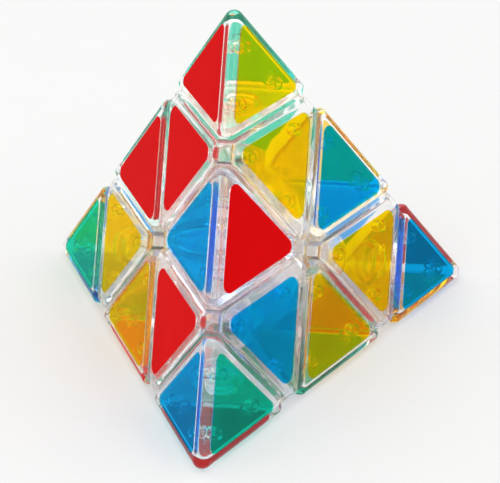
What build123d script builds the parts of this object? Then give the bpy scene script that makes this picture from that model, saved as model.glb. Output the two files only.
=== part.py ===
"""Pyramid twisty puzzle with clear shells: a tetrahedron that turns about its four corners.

Every cut between two pieces is a sphere about the centre or a plane square to a corner axis, so
every corner can turn. Lengths are in millimetres. The origin is the centre of the core.
"""

from build123d import *

import math
import os

# Overall shape
edge_sharp = 105.0  # edge of the tetrahedron before its corners are rounded
edge_round = 2.2  # radius along the six outer edges and at the four corners
inradius = edge_sharp / (2 * math.sqrt(6))  # centre to face
circumradius = 3 * inradius  # centre to sharp corner
face_height = edge_sharp * math.sqrt(3) / 2
third = edge_sharp / 3  # edge of one small triangle

# Cuts between the pieces, as distances from the centre along a corner axis
layer_plane = inradius / 3
tip_plane = 5 * inradius / 3 + 1.1
gap = 0.4  # between neighbouring shells
cut_round = {"tip": 1.3, "edge": 1.2, "axial": 1.6}  # radius where a facet meets a cut
inner_round = 3.0  # radius of an edge piece's inner edge
hollow_round = {"tip": 1.1, "edge": 0.6}  # radius inside a hollow, along the outer edges
blunt = 3.0  # length cut off each point of an axial piece
wall = 1.5
fit = 0.05  # between two pieces that are glued together

# Mechanism: feet slide between two spheres, cut by a plane square to each corner axis
shoulder_radius = 18.0
foot_radius = 13.0
foot_plane = 1.5
flange_thickness = 1.8
flange_plane = 8.2
slide = 0.15  # clearance on each side of a sliding surface
plate_thickness = 1.8
plug_height = 1.6

# Core, screws, springs and washers
core_ball = 6.5
arm_radius = 3.4
screw_radius = 1.3
thread_gap = 0.03
screw_start = 4.0
head_radius = 2.8
head_height = 2.2
hex_size = 2.5  # across flats of the drive socket
hex_depth = 1.4
bore_radius = 1.4
pocket_radius = 4.2
pocket_floor = 14.6
tube_radius = 5.6
tube_top = 24.5
wire_radius = 0.4
spring_radius = 3.1
spring_turns = 4.0
spring_bottom = pocket_floor + 0.8
spring_top = 19.9
washer_thickness = 0.6
washer_radius = 3.5
washer_gap = 0.05
washer_bottom = spring_top + wire_radius + washer_gap
head_bottom = washer_bottom + washer_thickness

# Snap collar that a tip turns on
collar_radius = 5.0
collar_wall = 1.3
collar_running = 0.1
collar_length = 3.9
lip_width = 0.6
lip_height = 1.2

# Coloured films and the sleeves behind them
film_thickness = 0.2
film_recess = 0.05  # face of the shell to face of the film
pocket_depth = 0.28
film_round = {"tip": 1.3, "edge": 1.9, "axial": 2.2}
film_slack = 0.04
tip_film_inner, tip_film_outer = 3.8, 3.2
axial_film_tip, axial_film_side = 1.5, 2.8
edge_film_outer, edge_film_inner = 3.45, 2.05
sleeve_outer, sleeve_inner, sleeve_length = 1.4, 0.8, 2.4
sleeve_from_corner = 6.2  # film corner to sleeve axis

BIG = 200.0
low, spread = -1 / 3, math.sqrt(8) / 3
AXES = {
    "top": Vector(0, 0, 1),
    "front": Vector(0, -spread, low),
    "right": Vector(spread * math.cos(math.pi / 6), spread / 2, low),
    "left": Vector(-spread * math.cos(math.pi / 6), spread / 2, low),
}
TIPS = ("top", "left", "front", "right")
EDGES = (
    ("top", "left"),
    ("top", "front"),
    ("top", "right"),
    ("left", "front"),
    ("front", "right"),
    ("left", "right"),
)
# Each face is named by the three corners that it joins.
FACES = {
    "left": ("top", "left", "front"),
    "right": ("top", "front", "right"),
    "back": ("top", "left", "right"),
    "bottom": ("left", "front", "right"),
}
# A film's side at one of its piece's own corners and at any other corner of the face, each as
# (share of that corner where the facet ends, sign of the way inward, margin of the film).
FILM_SIDES = {
    "tip": ((2 / 3, 1, tip_film_inner), (0, 1, tip_film_outer)),
    "axial": ((2 / 3, -1, axial_film_tip), (1 / 3, -1, axial_film_side)),
    "edge": ((1 / 3, 1, edge_film_inner), (0, 1, edge_film_outer)),
}


def missing(face):
    """The corner that a face does not touch; the face's outward normal is its opposite."""
    return next(name for name in TIPS if name not in FACES[face])


def turned(shape, about, source, target):
    """Turn a shape a third of a turn about one corner axis, taking one corner to another."""
    if source == target:
        return shape
    way = AXES[about].dot(AXES[source].cross(AXES[target]))
    return shape.rotate(Axis((0, 0, 0), AXES[about]), math.copysign(120, way))


def to_tip(shape, name):
    """Move a shape made for the top corner to another corner."""
    about = "left" if name == "front" else "front"
    return shape if name == "top" else turned(shape, about, "top", name)


def to_edge(shape, pair):
    """Move a shape made for the top-front edge to another edge."""
    if pair[0] == "top":
        return turned(shape, "top", "front", pair[1])
    if "front" in pair:
        other = next(name for name in pair if name != "front")
        return turned(shape, "front", "top", other)
    return turned(turned(shape, "top", "front", "left"), "left", "top", "right")


def below(shape, direction, distance):
    """The part of a shape on the near side of a plane square to a direction."""
    plane = Plane(origin=direction * distance, z_dir=direction)
    return split(shape, bisect_by=plane, keep=Keep.BOTTOM)


def cell(walls):
    """The block left inside a list of (outward direction, distance) planes."""
    block = Box(BIG, BIG, BIG)
    for direction, distance in walls:
        block = below(block, direction, distance)
    return block


def post(radius, start, end):
    """A round post on the top axis between two distances from the centre."""
    return Pos(0, 0, (start + end) / 2) * Cylinder(radius, end - start)


def on_face(face, shares):
    """A point on a face from its corners' shares, given as {corner: share}."""
    return sum((AXES[name] * circumradius * share for name, share in shares.items()), Vector())


def facet_lines(face, kind, names, inset):
    """The share of each corner of a face at which a film's three sides lie."""
    lines = {}
    for corner in FACES[face]:
        cut, inward, margin = FILM_SIDES[kind][corner not in names]
        lines[corner] = cut + inward * (margin + inset) / face_height
    return lines


def film_corners(face, kind, names, inset=0.0):
    """The three sharp corners of a film, moved inward by an inset."""
    lines = facet_lines(face, kind, names, inset)
    corners = []
    for free in FACES[face]:
        shares = {name: lines[name] for name in FACES[face] if name != free}
        shares[free] = 1 - sum(shares.values())
        corners.append(on_face(face, shares))
    return corners


def film(face, kind, names, depth, thickness, inset=0.0):
    """A rounded triangle of film whose outer face lies at a depth below a face."""
    normal = -AXES[missing(face)]
    outline = Face(Wire.make_polygon(film_corners(face, kind, names, inset)))
    outline = outline.fillet_2d(film_round[kind] - inset, outline.vertices())
    outline = Pos(normal * -(depth + thickness)) * outline
    return Solid.extrude(outline, normal * thickness)


def pockets(kind, names):
    """Shallow recesses for a piece's films."""
    faces = [face for face in FACES if all(name in FACES[face] for name in names)]
    return [film(face, kind, names, 0, pocket_depth, -film_slack) for face in faces]


def sleeves(kind, names):
    """Short tubes moulded behind each facet, one near every corner of its film."""
    tubes = []
    for face in [face for face in FACES if all(name in FACES[face] for name in names)]:
        normal = -AXES[missing(face)]
        corners = film_corners(face, kind, names)
        middle = sum(corners, Vector()) * (1 / 3)
        for corner in corners:
            foot = corner + (middle - corner).normalized() * sleeve_from_corner - normal * wall * 0.8
            stem = Plane(origin=foot - normal * sleeve_length, z_dir=normal)
            tube = Cylinder(sleeve_outer, sleeve_length) - Cylinder(sleeve_inner, sleeve_length)
            tubes.append(stem * Pos(0, 0, sleeve_length / 2) * tube)
    return tubes


def tip_cell(inset, floor):
    """The space of the top tip, moved inward, above a floor."""
    sides = [(-AXES[name], inradius - inset) for name in ("front", "right", "left")]
    return cell(sides + [(-AXES["top"], -floor)])


def rounded_tip(inset, floor, radius):
    """The space of the top tip with its three sloping edges rounded."""
    body = tip_cell(inset, floor)
    return fillet([edge for edge in body.edges() if edge.center().Z > floor + 1], radius)


def tip_cap():
    """Hollow four-sided cap, open underneath."""
    floor = tip_plane + gap / 2
    body = rounded_tip(0, floor, edge_round)
    rim = [edge for edge in body.edges() if abs(edge.center().Z - floor) < 0.01]
    body = fillet(rim, cut_round["tip"]) - rounded_tip(wall, floor - 1, hollow_round["tip"])
    return body + sleeves("tip", ("top",)) - pockets("tip", ("top",))


def tip_base():
    """Plate that closes a tip, with the hollow snap collar it turns on."""
    floor = tip_plane + gap / 2
    plate = below(rounded_tip(wall + fit, floor, hollow_round["tip"]), AXES["top"], floor + wall)
    bottom = floor - collar_length
    collar = post(collar_radius, bottom, floor + wall / 2)
    lip = post(collar_radius + lip_width, bottom, bottom + lip_height)
    lip = chamfer(lip.edges().sort_by(Axis.Z)[0], lip_width)
    return plate + collar + lip - post(collar_radius - collar_wall, bottom - 1, floor + wall + 1)


def axial_cell(inset):
    """The blunt eight-sided space of the top axial piece, moved inward."""
    lower = ("front", "right", "left")
    near, far = layer_plane + gap / 2 + inset, tip_plane - gap / 2 - inset
    walls = [(-AXES[name], inradius - inset) for name in lower]
    walls += [(AXES[name], layer_plane - gap / 2 - inset) for name in lower]
    walls += [(AXES["top"], far), (-AXES["top"], -near)]
    middle = AXES["top"] * inradius
    reach = third / math.sqrt(2) - blunt - inset
    for name in lower:
        on_outer_edge = (AXES["top"] * 2 + AXES[name]) * inradius
        face_centre = -AXES[name] * inradius
        for point in (on_outer_edge, face_centre):
            direction = (point - middle).normalized()
            walls.append((direction, middle.dot(direction) + reach))
    return cell(walls)


def axial_shell():
    """Hollow axial shell: three facets, three side walls and a roof with a round hole."""
    body = axial_cell(0)
    body = fillet(body.edges(), cut_round["axial"])
    body -= Sphere(shoulder_radius + slide)
    body -= axial_cell(wall)
    body -= post(collar_radius + collar_running, tip_plane - 3 * wall, tip_plane + 1)
    return body + sleeves("axial", ("top",)) - pockets("axial", ("top",))


def axial_base():
    """Inner half of an axial piece: plate, stem, flange under the feet and spring tube."""
    plate = axial_cell(wall + fit) & Sphere(shoulder_radius + slide + plate_thickness)
    plate -= Sphere(shoulder_radius + slide)
    between_feet = cell([(AXES[name], foot_plane - slide) for name in ("front", "right", "left")])
    stem = between_feet & (Sphere(shoulder_radius + 1) - Sphere(foot_radius - 1))
    flange = Sphere(foot_radius - slide) - Sphere(foot_radius - slide - flange_thickness)
    flange &= cell([(-AXES["top"], -flange_plane)])
    body = plate + stem + flange + post(tube_radius, shoulder_radius - 2, tube_top)
    return body - post(pocket_radius, pocket_floor, BIG / 2) - post(bore_radius, 5, pocket_floor + 1)


def edge_cell(inset):
    """The four-sided space of the top-front edge piece, moved inward."""
    walls = [(-AXES[name], inradius - inset) for name in ("left", "right")]
    walls += [(-AXES[name], -(layer_plane + gap / 2 + inset)) for name in ("top", "front")]
    return cell(walls)


def edge_shell():
    """Hollow outer half of an edge piece: two facets and two side walls."""
    body = edge_cell(0)
    body = fillet(body.edges().sort_by(SortBy.DISTANCE)[-1], edge_round)
    body = fillet(body.edges().sort_by(SortBy.DISTANCE)[0], inner_round)
    along = (AXES["top"] - AXES["front"]).normalized()
    across = AXES["top"].cross(AXES["front"]).normalized()

    def is_sharp(edge):
        way = edge.tangent_at(0.5)
        straight = edge.geom_type == GeomType.LINE
        return not (straight and max(abs(way.dot(along)), abs(way.dot(across))) > 0.999)

    body = fillet([edge for edge in body.edges() if is_sharp(edge)], cut_round["edge"])
    hollow = edge_cell(wall)
    hollow = fillet(hollow.edges().sort_by(SortBy.DISTANCE)[-1], hollow_round["edge"])
    hollow = fillet(hollow.edges().sort_by(SortBy.DISTANCE)[0], inner_round - wall)
    body = body - Sphere(shoulder_radius + slide) - hollow
    return body + sleeves("edge", ("top", "front")) - pockets("edge", ("top", "front"))


def edge_foot():
    """Foot that slides under the axial shoulders, with the plug that closes the edge shell."""
    sides = [(-AXES[name], -(foot_plane + slide)) for name in ("top", "front")]
    sides += [(AXES[name], foot_plane - slide) for name in ("left", "right")]
    foot = cell(sides) & (Sphere(shoulder_radius - slide) - Sphere(foot_radius + slide))
    plug = edge_cell(wall + fit)
    plug = fillet(plug.edges().sort_by(SortBy.DISTANCE)[0], inner_round - wall)
    plug &= Sphere(shoulder_radius + plug_height)
    return foot + (plug - Sphere(shoulder_radius - 1))


def screw():
    """Socket-head screw on the top axis."""
    shank = post(screw_radius, screw_start, head_bottom + 0.5)
    head = post(head_radius, head_bottom, head_bottom + head_height)
    head = fillet(head.edges().sort_by(Axis.Z)[-1], 0.4)
    socket = extrude(RegularPolygon(hex_size / math.sqrt(3), 6), hex_depth)
    return shank + head - Pos(0, 0, head_bottom + head_height - hex_depth) * socket


def spring():
    """Compression spring on the top axis."""
    length = spring_top - spring_bottom
    path = Helix(pitch=length / spring_turns, height=length, radius=spring_radius)
    section = Plane(origin=path @ 0, z_dir=path % 0) * Circle(wire_radius)
    return Pos(0, 0, spring_bottom) * sweep(section, path=path)


def washer():
    """Flat washer between a spring and its screw head."""
    top = washer_bottom + washer_thickness
    return post(washer_radius, washer_bottom, top) - post(bore_radius, washer_bottom - 1, top + 1)


def core():
    """Four-armed core, bored for the four screws."""
    body = Sphere(core_ball)
    for name in TIPS:
        body += to_tip(post(arm_radius, 0, foot_radius), name)
    body &= Sphere(foot_radius - slide - flange_thickness - slide)
    for name in TIPS:
        body -= to_tip(post(screw_radius + thread_gap, screw_start - washer_gap, foot_radius), name)
    return body


# Colour of every film: (kind, corners, face)
COLOURS = {
    "red": (
        ("tip", ("top",), "left"),
        ("axial", ("top",), "left"),
        ("edge", ("top", "left"), "left"),
        ("edge", ("top", "front"), "right"),
        ("axial", ("front",), "left"),
        ("tip", ("front",), "bottom"),
        ("tip", ("right",), "back"),
        ("edge", ("left", "front"), "bottom"),
        ("axial", ("right",), "bottom"),
    ),
    "yellow": (
        ("tip", ("top",), "right"),
        ("axial", ("top",), "right"),
        ("edge", ("top", "right"), "back"),
        ("axial", ("left",), "left"),
        ("axial", ("right",), "right"),
        ("edge", ("left", "front"), "left"),
        ("edge", ("front", "right"), "right"),
        ("tip", ("left",), "back"),
        ("tip", ("right",), "bottom"),
    ),
    "blue": (
        ("edge", ("top", "front"), "left"),
        ("edge", ("top", "right"), "right"),
        ("axial", ("front",), "right"),
        ("tip", ("front",), "left"),
        ("tip", ("right",), "right"),
        ("tip", ("left",), "bottom"),
        ("axial", ("left",), "back"),
        ("axial", ("right",), "back"),
        ("edge", ("left", "right"), "back"),
    ),
    "green": (
        ("tip", ("left",), "left"),
        ("tip", ("front",), "right"),
        ("tip", ("top",), "back"),
        ("axial", ("top",), "back"),
        ("edge", ("top", "left"), "back"),
        ("axial", ("left",), "bottom"),
        ("axial", ("front",), "bottom"),
        ("edge", ("front", "right"), "bottom"),
        ("edge", ("left", "right"), "bottom"),
    ),
}


def films():
    """The coloured films, grouped by the body they turn with and by colour."""
    groups = {}
    for colour, places in COLOURS.items():
        for kind, names, face in places:
            if kind == "tip":
                node = f"film_tip_{names[0]}_{colour}"
            elif "top" in names:
                node = f"films_top_layer_{colour}"
            else:
                node = f"films_base_{colour}"
            sheet = film(face, kind, names, film_recess, film_thickness)
            groups.setdefault(node, []).append(sheet)
    return groups


def build():
    """Every node of the puzzle, as {node: list of solids}."""
    nodes = {"core": [core()]}
    for node, make in (("screws", screw), ("springs", spring), ("washers", washer)):
        piece = make()
        nodes[node] = [to_tip(piece, name) for name in TIPS]
    for node, make in (
        ("tip_{}_cap", tip_cap),
        ("tip_{}_base", tip_base),
        ("axial_{}_shell", axial_shell),
        ("axial_{}_base", axial_base),
    ):
        piece = make()
        for name in TIPS:
            nodes[node.format(name)] = [to_tip(piece, name)]
    for node, make in (("edge_{}_{}_shell", edge_shell), ("edge_{}_{}_foot", edge_foot)):
        piece = make()
        for pair in EDGES:
            nodes[node.format(*pair)] = [to_edge(piece, pair)]
    return nodes | films()


os.makedirs("parts", exist_ok=True)
for node_name, pieces in build().items():
    solids = [solid for piece in pieces for solid in piece.solids()]
    export_step(solids[0] if len(solids) == 1 else Compound(solids), f"parts/{node_name}.step")
    print(node_name, len(solids), round(sum(solid.volume for solid in solids), 1))
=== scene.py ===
"""Looks of the clear pyramid twisty puzzle.

Clear mouldings, coloured films and steel hardware stand on a pale floor in soft studio light.
"""

import math

import bpy
from mathutils import Matrix, Vector
from mathutils.bvhtree import BVHTree


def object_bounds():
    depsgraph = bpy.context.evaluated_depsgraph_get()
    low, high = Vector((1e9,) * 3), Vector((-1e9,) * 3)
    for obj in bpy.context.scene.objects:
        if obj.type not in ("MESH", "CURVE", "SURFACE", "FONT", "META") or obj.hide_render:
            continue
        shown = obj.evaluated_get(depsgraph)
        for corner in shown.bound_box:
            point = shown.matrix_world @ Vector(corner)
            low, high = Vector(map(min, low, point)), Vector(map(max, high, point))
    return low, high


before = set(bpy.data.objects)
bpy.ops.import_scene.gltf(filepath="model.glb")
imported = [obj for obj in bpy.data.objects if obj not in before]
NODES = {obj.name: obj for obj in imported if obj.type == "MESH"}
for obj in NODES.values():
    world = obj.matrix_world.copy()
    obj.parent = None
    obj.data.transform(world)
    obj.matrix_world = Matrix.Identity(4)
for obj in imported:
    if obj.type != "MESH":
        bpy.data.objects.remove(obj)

CAD_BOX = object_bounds()
MM = 0.001

# Every facet is as far from the core's centre, the origin, as the bottom face. The floor of a film pocket
# lies between two depths below its facet, and its film lies just above that floor.
FACET_DISTANCE = -CAD_BOX[0].z
POCKET_DEPTHS = (0.2 * MM, 0.4 * MM)
FILM_REACH = 0.3 * MM

# Camera, in degrees and metres
AZIMUTH = 9.27
ELEVATION = 31.06
ROLL = -1.23
DISTANCE = 0.4632
AIM = Vector((0.0022, 0.0012, 0.0014))
LENS = 145.0
SENSOR = 36.0


def add_camera():
    """The camera, aimed a little off the centre of the core."""
    camera = bpy.data.objects.new("camera", bpy.data.cameras.new("camera"))
    bpy.context.scene.collection.objects.link(camera)
    azimuth, elevation = math.radians(AZIMUTH), math.radians(ELEVATION)
    away = Vector((
        math.sin(azimuth) * math.cos(elevation),
        -math.cos(azimuth) * math.cos(elevation),
        math.sin(elevation),
    ))
    camera.location = AIM + away * DISTANCE
    turn = away.to_track_quat("Z", "Y").to_matrix().to_4x4()
    roll = Matrix.Rotation(math.radians(ROLL), 4, "Z")
    camera.matrix_world = Matrix.Translation(camera.location) @ turn @ roll
    camera.data.sensor_width = SENSOR
    camera.data.lens = LENS
    camera.data.clip_start = 0.01
    bpy.context.scene.camera = camera


class Shader:
    """A material under construction, with one method for each kind of node that it uses."""

    def __init__(self, name):
        self.material = bpy.data.materials.new(name)
        self.material.use_nodes = True
        self.tree = self.material.node_tree
        self.tree.nodes.clear()
        self.coordinates = self.node("ShaderNodeTexCoord").outputs["Object"]

    def node(self, kind, links=None, **values):
        """Add a node, set its plain values and link its inputs."""
        made = self.tree.nodes.new(kind)
        for key, value in values.items():
            setattr(made, key, value)
        for key, source in (links or {}).items():
            if isinstance(source, bpy.types.NodeSocket):
                self.tree.links.new(source, made.inputs[key])
            else:
                made.inputs[key].default_value = source
        return made

    def noise(self, scale, detail=3.0, roughness=0.5, distortion=0.0, stretch=None):
        """A noise pattern with features about 1/scale metres across, stretched along the axes."""
        vector = self.coordinates
        if stretch:
            vector = self.node("ShaderNodeMapping", {"Vector": vector, "Scale": stretch}).outputs[0]
        links = {
            "Vector": vector,
            "Scale": scale,
            "Detail": detail,
            "Roughness": roughness,
            "Distortion": distortion,
        }
        return self.node("ShaderNodeTexNoise", links).outputs["Fac"]

    def scale(self, value, low, high):
        """Spread the values that a noise pattern mostly has, 0.3 to 0.7, over low to high."""
        links = {"Value": value, "From Min": 0.3, "From Max": 0.7, "To Min": low, "To Max": high}
        return self.node("ShaderNodeMapRange", links).outputs["Result"]

    def blend(self, factor, first, second):
        """A colour between two, by a pattern. The node's colour sockets are inputs 6 and 7 and output 2."""
        made = self.node("ShaderNodeMix", data_type="RGBA")
        self.tree.links.new(factor, made.inputs["Factor"])
        for socket, colour in ((made.inputs[6], first), (made.inputs[7], second)):
            if isinstance(colour, bpy.types.NodeSocket):
                self.tree.links.new(colour, socket)
            else:
                socket.default_value = (*colour, 1.0)
        return made.outputs[2]

    def bump(self, height, distance, below=None):
        """A surface relief of a real depth in metres, on top of another one if it is given."""
        links = {"Height": height, "Distance": distance, "Strength": 1.0}
        if below:
            links["Normal"] = below
        return self.node("ShaderNodeBump", links).outputs["Normal"]

    def finish(self, surface, shadow=None):
        """Close the material. With a shadow colour, light passes through it instead of being blocked."""
        if shadow:
            clear = self.node("ShaderNodeBsdfTransparent", {"Color": (*shadow, 1.0)})
            path = self.node("ShaderNodeLightPath")
            mix = self.node("ShaderNodeMixShader", {0: path.outputs["Is Shadow Ray"]})
            self.tree.links.new(surface, mix.inputs[1])
            self.tree.links.new(clear.outputs[0], mix.inputs[2])
            surface = mix.outputs[0]
        self.node("ShaderNodeOutputMaterial", {"Surface": surface})
        return self.material


def clear_plastic(name, tint, haze, waviness, milk, ripples=55):
    """Clear moulded plastic with flow waves, fine scratches, a little haze and some milkiness."""
    shader = Shader(name)
    flow = shader.noise(ripples, detail=1, distortion=1.2, stretch=(1.0, 1.0, 0.4))
    scuffs = shader.noise(900, detail=4, roughness=0.7, stretch=(1.0, 0.25, 0.6))
    relief = shader.bump(flow, waviness)
    relief = shader.bump(scuffs, 0.004 * MM, below=relief)
    milky = tuple(channel * 0.97 for channel in tint)
    plastic = shader.node("ShaderNodeBsdfPrincipled", {
        "Base Color": shader.blend(flow, tint, milky),
        "Roughness": shader.scale(scuffs, haze * 0.6, haze * 1.6),
        "Normal": relief,
        "IOR": 1.5,
        "Specular Tint": (0.4, 0.4, 0.4, 1.0),
        "Transmission Weight": 1.0 - milk,
    })
    return shader.finish(plastic.outputs[0], shadow=tint)


def colour_film(name, colour, solidity, shadow):
    """Translucent coloured film: a clean tinted sheet with a little body colour and soft streaks."""
    deep = tuple(channel * 0.93 for channel in colour)
    shader = Shader(name)
    cloud = shader.noise(70, detail=2, distortion=1.5, stretch=(1.0, 1.0, 0.4))
    film = shader.node("ShaderNodeBsdfPrincipled", {
        "Base Color": shader.blend(shader.scale(cloud, 0.0, 1.0), colour, deep),
        "Roughness": shader.scale(cloud, 0.08, 0.14),
        "Normal": shader.bump(cloud, 0.02 * MM),
        "IOR": 1.06,
        "Transmission Weight": 1.0 - solidity,
    })
    return shader.finish(film.outputs[0], shadow=shadow)


def glued_face(name, colour, deep, glow):
    """Clear plastic where a film is glued on: light that is turned back inside takes the film's colour."""
    shader = Shader(name)
    flow = shader.noise(55, detail=2, distortion=0.6)
    glass = shader.node("ShaderNodeBsdfGlass", {
        "Color": shader.blend(flow, colour, tuple(channel * 0.97 for channel in colour)),
        "Roughness": 0.02,
        "IOR": 1.5,
        "Normal": shader.bump(flow, 0.02 * MM),
    })
    spread = shader.node("ShaderNodeBsdfTranslucent", {"Color": (*deep, 1.0)})
    mix = shader.node("ShaderNodeMixShader", {0: glow})
    shader.tree.links.new(glass.outputs[0], mix.inputs[1])
    shader.tree.links.new(spread.outputs[0], mix.inputs[2])
    return shader.finish(mix.outputs[0], shadow=colour)


def steel(name, tone, rough, grain):
    """Plated steel with drawn or turned grain."""
    shader = Shader(name)
    lines = shader.noise(1500, detail=3, stretch=grain)
    spots = shader.noise(400, detail=2)
    metal = shader.node("ShaderNodeBsdfPrincipled", {
        "Base Color": shader.blend(spots, (tone, tone, tone * 1.02), (tone * 0.8, tone * 0.79, tone * 0.78)),
        "Roughness": shader.scale(lines, rough * 0.7, rough * 1.5),
        "Normal": shader.bump(lines, 0.01 * MM),
        "Metallic": 1.0,
    })
    return shader.finish(metal.outputs[0])


# Each film's colour, how much of it is solid colour, and the tint of light that lamps send through it
FILMS = {
    "red": ((0.56, 0.002, 0.003), 0.9, (1.0, 0.05, 0.05)),
    "yellow": ((1.0, 0.92, 0.05), 0.03, (1.0, 0.9, 0.05)),
    "blue": ((0.03, 0.78, 0.98), 0.04, (0.05, 0.8, 1.0)),
    "green": ((0.12, 0.93, 0.76), 0.03, (0.1, 0.93, 0.76)),
}
# The tint of the plastic under each film, of light spread sideways in it, and that light's share
GLUED = {
    "red": ((1.0, 0.002, 0.006), (0.95, 0.001, 0.03), 0.88),
    "yellow": ((1.0, 0.75, 0.0), (1.0, 0.6, 0.0), 0.08),
    "blue": ((0.0, 0.63, 0.97), (0.0, 0.16, 0.6), 0.22),
    "green": ((0.0, 0.78, 0.66), (0.0, 0.36, 0.3), 0.2),
}


def body_material(name, shells, inner, hub, metals):
    """The main material of a CAD node."""
    if name in metals:
        return metals[name]
    if name.endswith(("_shell", "_cap")):
        return shells
    return hub if name == "core" else inner


def line_walls(node, lining):
    """Give the inner side of a hollow moulding the wavier, duller finish that a mould core leaves."""
    middle = sum((vertex.co for vertex in node.data.vertices), Vector()) / len(node.data.vertices)
    node.data.materials.append(lining)
    for polygon in node.data.polygons:
        if (polygon.center - middle).dot(polygon.normal) < 0.0:
            polygon.material_index = 1


def tint_pockets(node, films, glued):
    """Give the floor of each film pocket the colour of the film glued on it."""
    slots = {}
    for polygon in node.data.polygons:
        depth = FACET_DISTANCE - polygon.center.dot(polygon.normal)
        if not POCKET_DEPTHS[0] < depth < POCKET_DEPTHS[1]:
            continue
        for colour, tree in films:
            if tree.ray_cast(polygon.center, polygon.normal, FILM_REACH)[0] is None:
                continue
            if colour not in slots:
                node.data.materials.append(glued[colour])
                slots[colour] = len(node.data.materials) - 1
            polygon.material_index = slots[colour]


def dress():
    """Give every CAD node its material."""
    shells = clear_plastic("clear_shell", (0.99, 0.99, 0.99), haze=0.02, waviness=0.03 * MM, milk=0.01)
    lining = clear_plastic(
        "clear_lining", (0.985, 0.99, 0.99), haze=0.07, waviness=0.2 * MM, milk=0.02, ripples=60
    )
    inner = clear_plastic("clear_inner", (0.97, 0.97, 0.96), haze=0.12, waviness=0.1 * MM, milk=0.1)
    hub = clear_plastic("core_plastic", (0.90, 0.91, 0.92), haze=0.25, waviness=0.1 * MM, milk=0.2)
    films = {colour: colour_film(f"film_{colour}", *FILMS[colour]) for colour in FILMS}
    glued = {colour: glued_face(f"glued_{colour}", *GLUED[colour]) for colour in GLUED}
    metals = {
        "screws": steel("zinc_steel", tone=0.62, rough=0.24, grain=(1.0, 1.0, 0.1)),
        "springs": steel("spring_wire", tone=0.52, rough=0.3, grain=(1.0, 1.0, 1.0)),
        "washers": steel("washer_steel", tone=0.6, rough=0.28, grain=(1.0, 1.0, 0.1)),
    }
    sheets = []
    for name, node in NODES.items():
        node.data.materials.clear()
        if name.startswith("film"):
            colour = name.split("_")[-1]
            node.data.materials.append(films[colour])
            points = [vertex.co for vertex in node.data.vertices]
            faces = [polygon.vertices for polygon in node.data.polygons]
            sheets.append((colour, BVHTree.FromPolygons(points, faces)))
        else:
            node.data.materials.append(body_material(name, shells, inner, hub, metals))
    for name, node in NODES.items():
        if name.endswith(("_shell", "_cap")):
            line_walls(node, lining)
            tint_pockets(node, sheets, glued)


def add_floor():
    """A plain pale floor that the puzzle stands on."""
    half = 3.0
    low = CAD_BOX[0].z
    mesh = bpy.data.meshes.new("floor")
    corners = [(-half, -half, low), (half, -half, low), (half, half, low), (-half, half, low)]
    mesh.from_pydata(corners, [], [(0, 1, 2, 3)])
    floor = bpy.data.objects.new("floor", mesh)
    bpy.context.scene.collection.objects.link(floor)
    shader = Shader("floor")
    grain = shader.noise(60, detail=3)
    paper = shader.node("ShaderNodeBsdfPrincipled", {
        "Base Color": shader.blend(grain, (0.61, 0.61, 0.607), (0.6, 0.6, 0.595)),
        "Roughness": 0.6,
        "Specular IOR Level": 0.2,
        "Normal": shader.bump(grain, 0.02 * MM),
    })
    mesh.materials.append(shader.finish(paper.outputs[0]))


def add_light(name, place, size, power):
    """A soft square lamp that points at the centre of the puzzle."""
    lamp = bpy.data.lights.new(name, "AREA")
    lamp.shape = "SQUARE"
    lamp.size = size
    lamp.energy = power
    light = bpy.data.objects.new(name, lamp)
    light.location = place
    light.rotation_euler = Vector(place).to_track_quat("Z", "Y").to_euler()
    bpy.context.scene.collection.objects.link(light)


def add_world():
    """Even studio light all round, a little darker towards the horizon."""
    world = bpy.data.worlds.new("studio")
    bpy.context.scene.world = world
    world.use_nodes = True
    tree = world.node_tree
    place = tree.nodes.new("ShaderNodeTexCoord").outputs["Generated"]
    split = tree.nodes.new("ShaderNodeSeparateXYZ")
    tree.links.new(place, split.inputs[0])
    ramp = tree.nodes.new("ShaderNodeValToRGB")
    tree.links.new(split.outputs["Z"], ramp.inputs[0])
    ramp.color_ramp.elements[0].color = (0.8, 0.81, 0.82, 1)
    ramp.color_ramp.elements[1].color = (1, 1, 1, 1)
    ramp.color_ramp.elements[1].position = 0.55
    tree.links.new(ramp.outputs[0], tree.nodes["Background"].inputs["Color"])
    tree.nodes["Background"].inputs["Strength"].default_value = 1.35


def set_up_cycles():
    """Enough bounces for many layers of clear plastic, with denoising and plain colours."""
    scene = bpy.context.scene
    scene.cycles.max_bounces = 48
    scene.cycles.transmission_bounces = 48
    scene.cycles.glossy_bounces = 24
    scene.cycles.diffuse_bounces = 6
    scene.cycles.transparent_max_bounces = 48
    scene.cycles.sample_clamp_indirect = 6.0
    scene.cycles.blur_glossy = 0.5
    scene.cycles.use_denoising = True
    scene.cycles.seed = 7
    scene.view_settings.view_transform = "Standard"
    scene.view_settings.look = "None"


add_camera()
dress()
add_floor()
add_light("key", (-0.7, -0.8, 1.3), size=0.9, power=7)
add_light("fill", (1.1, -0.6, 0.9), size=0.9, power=4)
add_world()
set_up_cycles()
